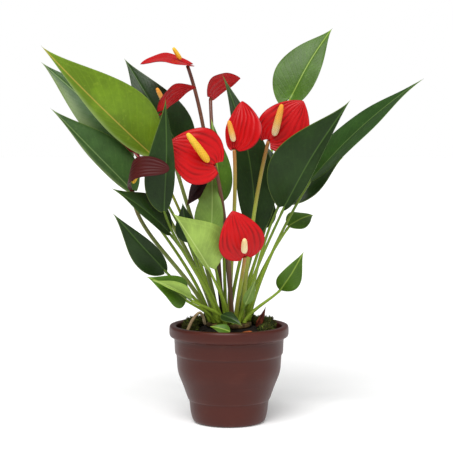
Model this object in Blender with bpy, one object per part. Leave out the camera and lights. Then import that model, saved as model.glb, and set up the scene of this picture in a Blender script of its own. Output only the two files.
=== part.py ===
"""Potted anthurium: a young red-flowering plant in a tapered nursery pot.

Metres, +Z up. The origin is the middle of the pot's flat base, and the plant's front faces -Y.
Every stalk grows from a bud of the crown, a short rootstock on the soil. Buds sit in rings, and a
bud is named by its ring and by its place in the ring, counted from +X over +Y.
A blade is laid along the chord from its base to its tip. "face" is where its upper side looks.
"""

import math

import bpy
from mathutils import Vector

MM = 0.001
GAP = 0.3 * MM  # between pieces that touch

# Pot
POT_RIM_R = 60.0 * MM
POT_BAND_R = 55.0 * MM
POT_WAIST_R = 52.8 * MM
POT_FOOT_R = 37.5 * MM
POT_H = 98.5 * MM
POT_BAND_Z = 69.0 * MM
POT_RIM_Z = 86.0 * MM
POT_WALL = 2.0 * MM
POT_SIDES = 44
DRAIN_HOLES = 6
DRAIN_HOLE_R = 3.5 * MM
DRAIN_RING_R = 22.0 * MM

# Soil and crown
SOIL_Z = 91.0 * MM
SOIL_MOUND = 5.0 * MM
SOIL_FLAT_R = 26.0 * MM
CROWN_R = 23.0 * MM
CROWN_H = 5.0 * MM
BUD_SPACING = 6.5 * MM

# Green and red pieces
LEAF_THICK = 0.9 * MM
LEAF_SHAPE = (0.65, 1.5)  # fullness of the base, taper of the tip
SPATHE_SHAPE = (0.45, 0.8)
HOOD_SHAPE = (0.9, 0.5)  # the faded spathe hangs forward, and is widest near its tip
SPATHE_THICK = 1.1 * MM
STALK_FOOT_R = 1.9 * MM
STALK_TOP_R = 1.15 * MM
STEM_FOOT_R = 2.2 * MM
STEM_TOP_R = 1.8 * MM
NECK_R = 1.1 * MM  # of a spathe, where it meets its stem
SPADIX_GROWTH = 0.06  # radius gained for each unit of length
SPADIX_LEAST_R = 1.4 * MM
SPADIX_LIFT = 2.2 * MM
STALK_STEPS = 7
BLADE_ROWS = (0.03, 0.1, 0.22, 0.38, 0.56, 0.74, 0.89, 0.985)
BLADE_LANES = ((1.0, 0), (0.5, 1), (0.0, 1), (-0.5, 1), (-1.0, 0), (-0.5, -1), (0.0, -1), (0.5, -1))

CROWN_TOP = SOIL_Z + SOIL_MOUND + GAP + CROWN_H

# name, bud, base, tip, width, face, arch, fold, lobe, skew, bend: millimetres, then shares
LEAVES = (
    ("leaf_left_high_front", (2, 6), (-76, -15, 269), (-181, -45, 375), 50, (-3, -8, 5),
     0.07, 0.12, 0.02, -0.5, 0.02),
    ("leaf_left_high_back", (3, 6), (-95, 12, 271), (-191, 35, 362), 44, (-4, -7, 6),
     0.05, 0.2, 0.03, 0, 0),
    ("leaf_left_middle", (3, 8), (-95, -20, 233), (-174, -30, 315), 35, (-4, -5, 7),
     0.06, 0.25, 0.03, -0.5, 0.01),
    ("leaf_back_left", (3, 5), (-45, 46, 267), (-109, 70, 367), 48, (-2, -8, 4),
     0.06, 0.15, 0.03, -0.1, 0),
    ("leaf_front_narrow", (3, 12), (-62, -68, 217), (-60, -72, 325), 29, (1, -9, 1),
     0.03, 0.25, 0.02, 0.4, 0),
    ("leaf_left_low_front", (2, 8), (-58, -52, 195), (-111, -84, 240), 33, (-1, -7, 7),
     0.08, 0.15, 0.04, -0.39, 0.02),
    ("leaf_left_lowest", (3, 10), (-64, -38, 158), (-111, -74, 216), 27, (1, -9, 2),
     0.05, 0.12, 0.06, 0.28, 0),
    ("leaf_small_left", (3, 11), (-42, -48, 129), (-79, -74, 155), 31, (-1, -8, 5),
     0.1, 0.35, 0, 0.03, 0),
    ("leaf_rolled_left", (3, 13), (-37, -56, 130), (-74, -84, 153), 15, (-1, -7, 7),
     0.05, 1.3, 0, 0, 0),
    ("leaf_front_bright", (2, 9), (-20, -70, 163), (-53, -92, 217), 38, (5, -8, 1),
     0.06, 0.3, 0.1, -0.72, 0),
    ("leaf_front_middle", (1, 4), (-18, -34, 187), (-17, -26, 254), 29, (-1, -9, 1),
     0.06, 0.15, 0.04, 0.2, -0.02),
    ("leaf_right_lowest", (3, 16), (51, -15, 135), (73, -40, 176), 23, (2, -9, 3),
     0.06, 0.12, 0, -0.13, 0),
    ("leaf_right_front", (2, 11), (54, -35, 219), (115, -70, 323), 44, (-1, -9, 3),
     0.06, 0.12, 0.04, 0.55, 0),
    ("leaf_right_long", (3, 0), (82, 0, 244), (191, -15, 344), 54, (-4, -4, 8),
     0.06, 0.35, 0.02, -0.12, -0.04),
    ("leaf_right_low", (3, 1), (53, 15, 222), (118, 46, 265), 21, (1, -8, 5),
     0.06, 0.12, 0.05, -0.57, 0),
    ("leaf_right_small", (3, 2), (62, 35, 195), (88, 62, 204), 24, (-1, -8, 5), 0.08, 0.12, 0.06, 0, 0),
    ("leaf_right_high", (2, 3), (64, 72, 325), (109, 95, 399), 46, (-2, -9, 3),
     0.06, 0.12, 0.15, 0.25, 0),
    ("leaf_centre_tall", (2, 2), (27, 16, 190), (-7, 38, 350), 40, (1, -9, 1),
     0.04, 0.15, 0.03, -0.15, -0.04),
    ("leaf_centre_right", (2, 1), (44, 36, 232), (20, 62, 292), 34, (2, -9, 2), 0.06, 0.15, 0.03, 0, 0),
    ("leaf_centre_green", (1, 2), (-8, 8, 223), (-18, 24, 305), 28, (2, -9, 2), 0.06, 0.15, 0.03, 0, 0),
    ("leaf_centre_low", (3, 3), (37, 44, 193), (39, 60, 236), 21, (2, -9, 2), 0.06, 0.15, 0.03, 0, 0),
    ("leaf_centre_left", (2, 7), (-40, -22, 184), (-46, -14, 222), 22, (-2, -9, 2),
     0.06, 0.15, 0.03, 0, 0),
    ("leaf_soil_front", (3, 14), (-7, -33, 112), (13, -44, 103), 14, (2, -7, 6), 0.08, 0.2, 0.03, 0, 0),
    ("leaf_crown_narrow", (3, 15), (16, -25, 122), (26, -29, 147), 11, (3, -9, 2), 0.05, 0.3, 0, 0, 0),
)

# A small leaf that lies on the soil, cut off from the crown: base, tip, width, face
FALLEN_LEAF = ((1, -43, 97), (-19, -40, 102), 12, (0, -7, 6))
FALLEN_CURVES = (0.1, 0.2, 0, 0, 0)

# name, bud, base, tip, width, face, arch, fold, lobe, skew, bend, spadix direction, spadix length
FLOWERS = (
    ("flower_top", (2, 4), (-42, 25, 358), (-89, 18, 359), 50, (0, -2, 9), 0.12, 0.1, 0.15, 0.1, -0.05,
     (-5, -4, 8), 15),
    ("flower_back", (1, 1), (-19, 60, 325), (12, 72, 346), 28, (-3, 7, 6), 0.12, 0.05, 0.08, -0.5, 0.04,
     (-2, 9, 5), 20),
    ("flower_behind", (2, 5), (-65, 6, 313), (-33, 14, 336), 28, (-3, 5, 7), 0.2, 0.05, 0.2, -0.2, 0.04,
     (-4, -3, 8), 18),
    ("flower_main", (1, 5), (-14, -46, 260), (-59, -54, 281), 58, (1, -9, 3),
     0.05, 0.05, 0.14, -0.08, 0.02,
     (-20, -22, 28), 40),
    ("flower_upright", (0, 0), (5, -25, 275), (13, -18, 322), 41, (-5, -8, 2),
     0.08, 0.05, 0.05, -0.4, -0.04,
     (-2, -5, 8), 24),
    ("flower_right", (2, 0), (39, -15, 283), (73, -20, 322), 52, (1, -9, 3),
     0.05, 0.05, 0.1, -0.08, -0.04,
     (2, -6, 9), 37),
    ("flower_low", (2, 10), (15, -64, 173), (3, -76, 218), 45, (0, -9, 4), 0.14, 0.05, 0.06, 0, 0,
     (0, -8, 5), 27),
    ("flower_faded", (3, 9), (-92, -59, 235), (-56, -91, 258), 27, (4, 6, -6), -0.4, 0.05, 0.05, 0, 0,
     (4, -4, 7), 14),
    ("flower_hidden", (3, 7), (-90, 2, 266), (-115, -6, 281), 16, (0, -3, 9), 0.1, 0.4, 0.05, 0.2, 0.05,
     (-1, -3, 9), 9),
)

# An unopened dark spathe on its own thin stem: bud, base, tip, width, face
YOUNG_SPATHE = ((1, 3), (-24, -20, 243), (-42, -28, 219), 17, (-3, -8, -3))
YOUNG_CURVES = (0.12, 0.9, 0, 0, 0)

# A papery bract at the feet of the stalks: base, tip, width, face
SHEATH = ((27, -6, 97.5), (37, -10, 118), 7, (5, -8, 2))
SHEATH_CURVES = (0.06, 0.8, 0, 0, 0)

# Where the dry stalk runs, from the soil beside the crown to the left wall of the pot
DEAD_STALK = ((-24, -5, 99), (-26, -9, 108), (-30, -15, 112), (-36, -22, 106), (-42, -27, 94))
DEAD_STALK_R = 1.5 * MM

# Moss lies on the soil as a lumpy mat round the back, from the left front to the right front
MOSS_FROM = math.radians(-38)
MOSS_TO = math.radians(212)
MOSS_RING_R = 39.0 * MM
MOSS_HALF_WIDTH = 9.0 * MM
MOSS_H = 15.0 * MM
MOSS_STEPS = 30

BARK_AT = (17, -40)
BARK_SIZE = (11 * MM, 7 * MM, 3 * MM)


def clear_scene():
    for thing in list(bpy.data.objects):
        bpy.data.objects.remove(thing, do_unlink=True)


def material(name, colour, roughness):
    made = bpy.data.materials.new(name)
    made.use_nodes = True
    shader = made.node_tree.nodes["Principled BSDF"]
    shader.inputs["Base Color"].default_value = (*colour, 1.0)
    shader.inputs["Roughness"].default_value = roughness
    shader.inputs["Metallic"].default_value = 0.0
    return made


def millimetres(point):
    return Vector(point) * MM


def closed_mesh(name, lofts, look):
    """One object from lofts. A loft is a list of rings of equal length, capped at both ends."""
    points = []
    faces = []
    for rings in lofts:
        start = len(points)
        sides = len(rings[0])
        for ring in rings:
            points.extend(ring)
        for row in range(len(rings) - 1):
            here = start + row * sides
            for i in range(sides):
                j = (i + 1) % sides
                faces.append((here + i, here + j, here + sides + j, here + sides + i))
        faces.append(tuple(range(start + sides - 1, start - 1, -1)))
        faces.append(tuple(range(len(points) - sides, len(points))))
    mesh = bpy.data.meshes.new(name)
    mesh.from_pydata([tuple(p) for p in points], [], faces)
    mesh.materials.append(look)
    mesh.shade_smooth()
    mesh.set_sharp_from_angle(angle=math.radians(50))
    made = bpy.data.objects.new(name, mesh)
    bpy.context.scene.collection.objects.link(made)
    return made


def circle(radius, height, sides):
    step = 2 * math.pi / sides
    return [Vector((radius * math.cos(step * i), radius * math.sin(step * i), height)) for i in range(sides)]


def bud_place(bud):
    """Foot of a stalk on the crown, for a bud's ring and place: rings hold 1, 6, 12 and 18 buds."""
    ring, place = bud
    angle = 2 * math.pi * place / (6 * ring) if ring else 0.0
    reach = ring * BUD_SPACING
    return Vector((reach * math.cos(angle), reach * math.sin(angle), CROWN_TOP + GAP))


def stalk_path(foot, base, heading):
    """Points of a stalk that leaves its foot steeply and comes in along heading."""
    length = (base - foot).length
    lean = (base - foot).normalized()
    out = (lean + Vector((0, 0, 1))).normalized()
    back = (lean * 2 + heading).normalized()
    p1 = foot + out * length * 0.3
    p2 = base - back * length * 0.3
    path = []
    for i in range(STALK_STEPS + 1):
        t = i / STALK_STEPS
        u = 1 - t
        path.append(foot * u**3 + p1 * 3 * t * u**2 + p2 * 3 * t**2 * u + base * t**3)
    return path


def blade_axes(base, tip, face):
    along = (tip - base).normalized()
    across = Vector(face).cross(along).normalized()
    return along, across, along.cross(across)


def tube_rings(path, radii, across, sides):
    """Rings round a path, turned so that the last ring's first point looks along across."""
    rings = []
    side = across
    for i in range(len(path) - 1, -1, -1):
        ahead = path[min(i + 1, len(path) - 1)]
        behind = path[max(i - 1, 0)]
        heading = (ahead - behind).normalized()
        side = (side - heading * side.dot(heading)).normalized()
        up = heading.cross(side)
        ring = []
        for k in range(sides):
            angle = 2 * math.pi * k / sides
            ring.append(path[i] + (side * math.cos(angle) + up * math.sin(angle)) * radii[i])
        rings.insert(0, ring)
    return rings


def level_foot(rings, height):
    """The first ring lies flat on the crown."""
    for point in rings[0]:
        point.z = height


def tapered(first, last, count):
    return [first + (last - first) * i / (count - 1) for i in range(count)]


def outline(s, fullness, taper):
    """Share of the half width at s along the blade: blunt at the base, pointed at the tip."""
    peak = fullness / (fullness + taper)
    return (s / peak) ** fullness * ((1 - s) / (1 - peak)) ** taper


def blade_rings(base, tip, width, face, curves, thick, shape=LEAF_SHAPE):
    """Rings across a blade. Each has its two margins, and three lanes above and three below."""
    arch, fold, lobe, skew, bend = curves
    along, across, up = blade_axes(base, tip, face)
    length = (tip - base).length
    rings = []
    for s in BLADE_ROWS:
        half = 0.5 * width * outline(s, *shape)
        ring = []
        for lane, side in BLADE_LANES:
            forward = length * (s - lobe * lane**2 * (1 - s) ** 4)
            rise = length * arch * 4 * s * (1 - s) + half * fold * (1.4 - s) * (abs(lane) - 0.45 * lane**2)
            sideways = half * (lane + skew * lane**2) + length * bend * 4 * s * (1 - s)
            middle = base + along * forward + across * sideways + up * rise
            ring.append(middle + up * side * thick / 2)
        rings.append(ring)
    return rings


def make_pot(look):
    lip = POT_RIM_R - POT_BAND_R + POT_WALL
    profile = [
        (12 * MM, POT_WALL + MM),
        (POT_FOOT_R - 4 * MM, POT_WALL + MM),
        (POT_FOOT_R - POT_WALL, 9 * MM),
        (41 * MM, 30 * MM),
        (POT_WAIST_R - POT_WALL - 2 * MM, 50 * MM),
        (POT_WAIST_R - POT_WALL, POT_BAND_Z - 2 * MM),
        (POT_BAND_R - POT_WALL, POT_BAND_Z + 2 * MM),
        (POT_RIM_R - lip, POT_H - 2 * MM),
    ]
    for turn in (0.2, 0.5, 0.8):
        angle = math.pi * (1 - turn)
        centre = POT_RIM_R - lip / 2
        profile.append((centre + lip / 2 * math.cos(angle), POT_H - 2 * MM + 2 * MM * math.sin(angle)))
    profile += [
        (POT_RIM_R, POT_H - 3 * MM),
        (POT_RIM_R, POT_RIM_Z + 3 * MM),
        (POT_RIM_R - 1 * MM, POT_RIM_Z + 1 * MM),
        (POT_BAND_R + 1.5 * MM, POT_RIM_Z),
        (POT_BAND_R, POT_RIM_Z - 1.5 * MM),
        (POT_BAND_R - 0.5 * MM, POT_BAND_Z + 1.5 * MM),
        (POT_BAND_R - 1.5 * MM, POT_BAND_Z),
        (POT_WAIST_R, POT_BAND_Z - 1 * MM),
        (POT_WAIST_R - 1 * MM, 51 * MM),
        (46 * MM, 37 * MM),
        (41.5 * MM, 24 * MM),
        (40 * MM, 22.5 * MM),
        (39 * MM, 12 * MM),
        (POT_FOOT_R, 5 * MM),
        (POT_FOOT_R - 1.5 * MM, 1.5 * MM),
        (POT_FOOT_R - 5 * MM, 0.0),
    ]
    rings = [circle(radius, height, POT_SIDES) for radius, height in reversed(profile)]
    pot = closed_mesh("pot", [rings], look)
    bore = []
    for i in range(DRAIN_HOLES):
        angle = 2 * math.pi * (i + 0.5) / DRAIN_HOLES
        centre = Vector((DRAIN_RING_R * math.cos(angle), DRAIN_RING_R * math.sin(angle), 0))
        low = [centre + p for p in circle(DRAIN_HOLE_R, -5 * MM, 10)]
        high = [centre + p for p in circle(DRAIN_HOLE_R, 12 * MM, 10)]
        bore.append([low, high])
    cutter = closed_mesh("drain_hole_cutter", bore, look)
    cutter.hide_render = True
    cutter.display_type = "WIRE"
    cut = pot.modifiers.new("drain_holes", "BOOLEAN")
    cut.operation = "DIFFERENCE"
    cut.object = cutter
    return pot


def soil_top(x, y):
    """Height of the soil: flat under the crown, lumpy between it and the wall."""
    reach = math.hypot(x, y)
    share = max(0.0, min(1.0, (reach - SOIL_FLAT_R) / (48 * MM - SOIL_FLAT_R)))
    lumps = math.sin(x * 310 + 1.0) * math.cos(y * 270 - 0.6) + 0.6 * math.sin(x * 190 - y * 350)
    return SOIL_Z + SOIL_MOUND * (1 - share) ** 2 + 1.3 * MM * share * lumps


def make_soil(look):
    clear = 0.5 * MM
    sides = 32
    walls = (
        (30 * MM, POT_WALL + MM + clear),
        (POT_FOOT_R - POT_WALL - 2.5 * MM, 8 * MM),
        (39.5 * MM, 30 * MM),
        (POT_WAIST_R - POT_WALL - 3.2 * MM, 50 * MM),
        (POT_WAIST_R - POT_WALL - 1.2 * MM, POT_BAND_Z - 4 * MM),
        (POT_WAIST_R - POT_WALL - 0.7 * MM, 86 * MM),
    )
    rings = [circle(radius, height, sides) for radius, height in walls]
    for radius in (47.5 * MM, 42 * MM, 35 * MM, SOIL_FLAT_R):
        ring = circle(radius, 0, sides)
        for point in ring:
            point.z = soil_top(point.x, point.y)
        rings.append(ring)
    return closed_mesh("soil", [rings], look)


def make_crown(look):
    low = SOIL_Z + SOIL_MOUND + GAP
    sides = 18
    return closed_mesh(
        "crown",
        [[circle(CROWN_R - 1 * MM, low, sides), circle(CROWN_R, low + 2 * MM, sides),
          circle(CROWN_R - 1 * MM, CROWN_TOP, sides)]],
        look,
    )


def make_moss(look):
    """Each section stands across the mat. The section's points run from its inner foot over the top."""
    rings = []
    for i in range(MOSS_STEPS + 1):
        share = i / MOSS_STEPS
        angle = MOSS_FROM + (MOSS_TO - MOSS_FROM) * share
        end = math.sin(math.pi * share) ** 0.35 if 0 < i < MOSS_STEPS else 0.25
        lump = 0.72 + 0.28 * math.sin(9.5 * angle + 0.8) * math.cos(3.2 * angle)
        ring = []
        for turn in (-90, -150, 180, 150, 110, 70, 30, -30):
            out = math.cos(math.radians(turn)) * MOSS_HALF_WIDTH * end
            rise = max(0.0, math.sin(math.radians(turn)) + 0.5) / 1.5 * MOSS_H * lump * end
            x = (MOSS_RING_R + out) * math.cos(angle)
            y = (MOSS_RING_R + out) * math.sin(angle)
            ring.append(Vector((x, y, soil_top(x, y) + 1.5 * MM + rise)))
        rings.append(ring)
    return closed_mesh("moss", [rings], look)


def make_bark(look):
    x, y = BARK_AT
    wide, deep, high = BARK_SIZE
    low = soil_top(x * MM, y * MM) + 3.4 * MM
    corners = []
    for height in (low, low + high):
        corners.append([
            Vector((x * MM + sx * wide / 2, y * MM + sy * deep / 2 * (1 - 0.3 * sx), height + sx * MM))
            for sx, sy in ((1, -1), (1, 1), (-1, 1), (-1, -1))
        ])
    return closed_mesh("bark_chip", [corners], look)


def make_leaf(row, look):
    name, bud, base, tip, width, face, *curves = row
    foot = bud_place(bud)
    base = millimetres(base)
    tip = millimetres(tip)
    along, across, _ = blade_axes(base, tip, face)
    path = stalk_path(foot, base, along)
    radii = tapered(STALK_FOOT_R, STALK_TOP_R, len(path))
    rings = tube_rings(path, radii, across, len(BLADE_LANES))
    level_foot(rings, foot.z)
    rings += blade_rings(base, tip, width * MM, face, curves, LEAF_THICK)
    return closed_mesh(name, [rings], look)


def make_fallen_leaf(look):
    base, tip, width, face = FALLEN_LEAF
    rings = blade_rings(millimetres(base), millimetres(tip), width * MM, face, FALLEN_CURVES, LEAF_THICK)
    return closed_mesh("leaf_fallen", [rings], look)


def make_flower(row, looks):
    name, bud, base, tip, width, face, *curves, lean, reach = row
    foot = bud_place(bud)
    base = millimetres(base)
    tip = millimetres(tip)
    along, across, up = blade_axes(base, tip, face)
    path = stalk_path(foot, base, (up + along).normalized())
    heading = (path[-1] - path[-2]).normalized()
    collar = [base + heading * GAP, base + heading * 1.5 * MM]
    path[-1] = base - heading * GAP
    stem = tube_rings(path, tapered(STEM_FOOT_R, STEM_TOP_R, len(path)), across, 6)
    level_foot(stem, foot.z)
    closed_mesh(name + "_stem", [stem], looks["stem"])
    rings = tube_rings(collar, [NECK_R, NECK_R], across, len(BLADE_LANES))
    shape = HOOD_SHAPE if name == "flower_faded" else SPATHE_SHAPE
    blade = blade_rings(base, tip, width * MM, face, curves, SPATHE_THICK, shape)
    closed_mesh(name + "_spathe", [rings + blade], looks["spathe"])
    lean = Vector(lean).normalized()
    slope = (blade[2][2] - blade[1][2]).normalized()
    start = (blade[1][2] + blade[2][2]) / 2 + slope.cross(across) * SPADIX_LIFT
    reach = reach * MM
    thick = SPADIX_GROWTH * reach + SPADIX_LEAST_R
    spine = [start + lean * reach * t for t in (0.0, 0.08, 0.25, 0.5, 0.75, 0.93, 1.0)]
    radii = [thick * share for share in (0.4, 0.9, 1.0, 0.95, 0.82, 0.6, 0.25)]
    closed_mesh(name + "_spadix", [tube_rings(spine, radii, across, 8)], looks["spadix"])


def make_young_spathe(look):
    bud, base, tip, width, face = YOUNG_SPATHE
    foot = bud_place(bud)
    base = millimetres(base)
    tip = millimetres(tip)
    along, across, _ = blade_axes(base, tip, face)
    path = stalk_path(foot, base, Vector((0, 0, 1)))
    rings = tube_rings(path, tapered(STEM_FOOT_R, STALK_TOP_R, len(path)), across, len(BLADE_LANES))
    level_foot(rings, foot.z)
    rings += blade_rings(base, tip, width * MM, face, YOUNG_CURVES, SPATHE_THICK)
    return closed_mesh("young_spathe", [rings], look)


def make_sheath(look):
    base, tip, width, face = SHEATH
    rings = blade_rings(millimetres(base), millimetres(tip), width * MM, face, SHEATH_CURVES, LEAF_THICK)
    return closed_mesh("sheath", [rings], look)


def make_dead_stalk(look):
    path = [millimetres(point) for point in DEAD_STALK]
    rings = tube_rings(path, [DEAD_STALK_R] * len(path), Vector((0, 1, 0)), 6)
    return closed_mesh("dead_stalk", [rings], look)


def main():
    clear_scene()
    green = material("leaf_green", (0.045, 0.13, 0.02), 0.4)
    red = material("spathe_red", (0.65, 0.01, 0.015), 0.35)
    maroon = material("young_spathe_maroon", (0.03, 0.006, 0.008), 0.4)
    brown = material("dry_brown", (0.45, 0.32, 0.2), 0.8)
    looks = {
        "stem": material("stem_green", (0.2, 0.22, 0.04), 0.45),
        "spathe": red,
        "spadix": material("spadix_yellow", (0.9, 0.5, 0.06), 0.6),
    }
    make_pot(material("pot_plastic", (0.08, 0.022, 0.015), 0.4))
    make_soil(material("peat", (0.02, 0.014, 0.008), 0.95))
    make_crown(material("rootstock", (0.09, 0.05, 0.02), 0.8))
    make_moss(material("moss", (0.04, 0.06, 0.012), 0.95))
    make_bark(material("bark", (0.35, 0.12, 0.03), 0.8))
    make_dead_stalk(brown)
    make_sheath(brown)
    for row in LEAVES:
        make_leaf(row, green)
    make_fallen_leaf(green)
    for row in FLOWERS:
        make_flower(row, looks)
    make_young_spathe(maroon)


main()
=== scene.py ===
"""Potted anthurium: fine leaves, flowers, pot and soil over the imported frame.

Metres, +Z up, the plant's front faces -Y. Blades and stalks repeat the posture of the frame's own
nodes at a finer pitch, and every piece is measured against the box of the node it stands for.
"""

import math

import bpy
import numpy as np
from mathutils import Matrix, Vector, noise


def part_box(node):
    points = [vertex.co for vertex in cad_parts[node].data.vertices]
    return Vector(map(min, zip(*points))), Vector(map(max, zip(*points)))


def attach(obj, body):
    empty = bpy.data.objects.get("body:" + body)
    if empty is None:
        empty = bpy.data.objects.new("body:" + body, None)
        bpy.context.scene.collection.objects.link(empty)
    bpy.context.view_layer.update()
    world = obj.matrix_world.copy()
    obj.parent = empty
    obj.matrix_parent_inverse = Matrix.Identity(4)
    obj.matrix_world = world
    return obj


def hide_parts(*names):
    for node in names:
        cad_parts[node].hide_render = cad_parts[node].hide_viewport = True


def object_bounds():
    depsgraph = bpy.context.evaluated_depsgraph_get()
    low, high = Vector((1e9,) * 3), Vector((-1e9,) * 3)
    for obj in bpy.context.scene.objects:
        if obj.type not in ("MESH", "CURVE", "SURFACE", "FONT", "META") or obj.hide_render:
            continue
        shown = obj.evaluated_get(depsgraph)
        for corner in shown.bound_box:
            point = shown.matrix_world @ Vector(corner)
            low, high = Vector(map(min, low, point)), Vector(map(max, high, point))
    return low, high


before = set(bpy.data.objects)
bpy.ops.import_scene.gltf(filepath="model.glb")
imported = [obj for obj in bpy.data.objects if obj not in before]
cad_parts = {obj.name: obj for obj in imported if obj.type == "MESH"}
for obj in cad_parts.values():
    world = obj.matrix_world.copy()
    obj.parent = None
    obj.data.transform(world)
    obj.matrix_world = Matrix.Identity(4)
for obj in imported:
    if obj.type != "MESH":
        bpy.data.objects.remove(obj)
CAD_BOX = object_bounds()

bl_info = {
    "name": "Potted Anthurium",
    "version": (1, 0, 0),
    "blender": (4, 5, 0),
    "location": "View3D > Sidebar > Anthurium",
    "description": "Builds the pot, soil, leaves and flowers of a potted anthurium over its packed frame",
    "category": "Object",
}

MM = 0.001
GAP = 0.3 * MM
TAU = 2 * math.pi

# Pot
POT_RIM_R = 60.0 * MM
POT_BAND_R = 55.0 * MM
POT_WAIST_R = 52.8 * MM
POT_FOOT_R = 37.5 * MM
POT_H = 98.5 * MM
POT_BAND_Z = 69.0 * MM
POT_RIM_Z = 86.0 * MM
POT_WALL = 2.0 * MM
DRAIN_HOLES = 6
DRAIN_HOLE_R = 3.5 * MM
DRAIN_RING_R = 22.0 * MM

# Soil and crown
SOIL_Z = 91.0 * MM
SOIL_MOUND = 5.0 * MM
SOIL_FLAT_R = 26.0 * MM
CROWN_R = 23.0 * MM
CROWN_H = 5.0 * MM
BUD_SPACING = 6.5 * MM
CROWN_TOP = SOIL_Z + SOIL_MOUND + GAP + CROWN_H

# Leaves, stalks and flowers
LEAF_THICK = 0.9 * MM
LEAF_SHAPE = (0.65, 1.5)  # fullness of the base, taper of the tip
SPATHE_SHAPE = (0.45, 0.8)
HOOD_SHAPE = (0.9, 0.5)  # the faded spathe hangs forward, and is widest near its tip
SPATHE_THICK = 1.1 * MM
STALK_FOOT_R = 1.9 * MM
STALK_TOP_R = 1.15 * MM
STEM_FOOT_R = 2.2 * MM
STEM_TOP_R = 1.8 * MM
NECK_R = 1.1 * MM  # of a spathe, where it meets its stem
SPADIX_GROWTH = 0.06  # radius gained for each unit of length
SPADIX_LEAST_R = 1.4 * MM
SPADIX_LIFT = 2.2 * MM
VEINS = 14  # pairs of side veins on a leaf
VEIN_SLANT = 0.3  # share of the length that a vein climbs on its way to the margin
THIN_EDGE = (0.1 * MM, 0.6 * MM)  # where a margin's own colour ends
KNEE = 0.3 * MM  # how far a stalk swells just under its blade
BROAD_SPATHE = 30  # millimetres: a spathe that is broader has more ridges
RIDGES = 5
FEW_RIDGES = 3
YOUNG_RIDGE_H = 0.4 * MM
FALLEN_WAVE = 0.4 * MM
BRACT_WAVE = 0.3 * MM

# How finely the pieces are made
POT_SIDES = 180
CROWN_SIDES = 120
STEM_SIDES = 24
STALK_STEPS = 40
STEM_STEPS = 48
YOUNG_STEPS = 44
LEAF_ROWS = 72
FALLEN_ROWS = 48
BRACT_ROWS = 40
SPATHE_ROWS = 84
YOUNG_ROWS = 60
SPATHE_LANES = 75
MOSS_STEPS = 170
SLACK = 6 * MM  # how far a piece may stand outside the box of its node

# name, bud, base, tip, width, face, arch, fold, lobe, skew, bend: millimetres, then shares
LEAVES = (
    ("leaf_left_high_front", (2, 6), (-76, -15, 269), (-181, -45, 375), 50, (-3, -8, 5),
     0.07, 0.12, 0.02, -0.5, 0.02),
    ("leaf_left_high_back", (3, 6), (-95, 12, 271), (-191, 35, 362), 44, (-4, -7, 6),
     0.05, 0.2, 0.03, 0, 0),
    ("leaf_left_middle", (3, 8), (-95, -20, 233), (-174, -30, 315), 35, (-4, -5, 7),
     0.06, 0.25, 0.03, -0.5, 0.01),
    ("leaf_back_left", (3, 5), (-45, 46, 267), (-109, 70, 367), 48, (-2, -8, 4),
     0.06, 0.15, 0.03, -0.1, 0),
    ("leaf_front_narrow", (3, 12), (-62, -68, 217), (-60, -72, 325), 29, (1, -9, 1),
     0.03, 0.25, 0.02, 0.4, 0),
    ("leaf_left_low_front", (2, 8), (-58, -52, 195), (-111, -84, 240), 33, (-1, -7, 7),
     0.08, 0.15, 0.04, -0.39, 0.02),
    ("leaf_left_lowest", (3, 10), (-64, -38, 158), (-111, -74, 216), 27, (1, -9, 2),
     0.05, 0.12, 0.06, 0.28, 0),
    ("leaf_small_left", (3, 11), (-42, -48, 129), (-79, -74, 155), 31, (-1, -8, 5),
     0.1, 0.35, 0, 0.03, 0),
    ("leaf_rolled_left", (3, 13), (-37, -56, 130), (-74, -84, 153), 15, (-1, -7, 7),
     0.05, 1.3, 0, 0, 0),
    ("leaf_front_bright", (2, 9), (-20, -70, 163), (-53, -92, 217), 38, (5, -8, 1),
     0.06, 0.3, 0.1, -0.72, 0),
    ("leaf_front_middle", (1, 4), (-18, -34, 187), (-17, -26, 254), 29, (-1, -9, 1),
     0.06, 0.15, 0.04, 0.2, -0.02),
    ("leaf_right_lowest", (3, 16), (51, -15, 135), (73, -40, 176), 23, (2, -9, 3),
     0.06, 0.12, 0, -0.13, 0),
    ("leaf_right_front", (2, 11), (54, -35, 219), (115, -70, 323), 44, (-1, -9, 3),
     0.06, 0.12, 0.04, 0.55, 0),
    ("leaf_right_long", (3, 0), (82, 0, 244), (191, -15, 344), 54, (-4, -4, 8),
     0.06, 0.35, 0.02, -0.12, -0.04),
    ("leaf_right_low", (3, 1), (53, 15, 222), (118, 46, 265), 21, (1, -8, 5),
     0.06, 0.12, 0.05, -0.57, 0),
    ("leaf_right_small", (3, 2), (62, 35, 195), (88, 62, 204), 24, (-1, -8, 5), 0.08, 0.12, 0.06, 0, 0),
    ("leaf_right_high", (2, 3), (64, 72, 325), (109, 95, 399), 46, (-2, -9, 3),
     0.06, 0.12, 0.15, 0.25, 0),
    ("leaf_centre_tall", (2, 2), (27, 16, 190), (-7, 38, 350), 40, (1, -9, 1),
     0.04, 0.15, 0.03, -0.15, -0.04),
    ("leaf_centre_right", (2, 1), (44, 36, 232), (20, 62, 292), 34, (2, -9, 2), 0.06, 0.15, 0.03, 0, 0),
    ("leaf_centre_green", (1, 2), (-8, 8, 223), (-18, 24, 305), 28, (2, -9, 2), 0.06, 0.15, 0.03, 0, 0),
    ("leaf_centre_low", (3, 3), (37, 44, 193), (39, 60, 236), 21, (2, -9, 2), 0.06, 0.15, 0.03, 0, 0),
    ("leaf_centre_left", (2, 7), (-40, -22, 184), (-46, -14, 222), 22, (-2, -9, 2),
     0.06, 0.15, 0.03, 0, 0),
    ("leaf_soil_front", (3, 14), (-7, -33, 112), (13, -44, 103), 14, (2, -7, 6), 0.08, 0.2, 0.03, 0, 0),
    ("leaf_crown_narrow", (3, 15), (16, -25, 122), (26, -29, 147), 11, (3, -9, 2), 0.05, 0.3, 0, 0, 0),
)

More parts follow.
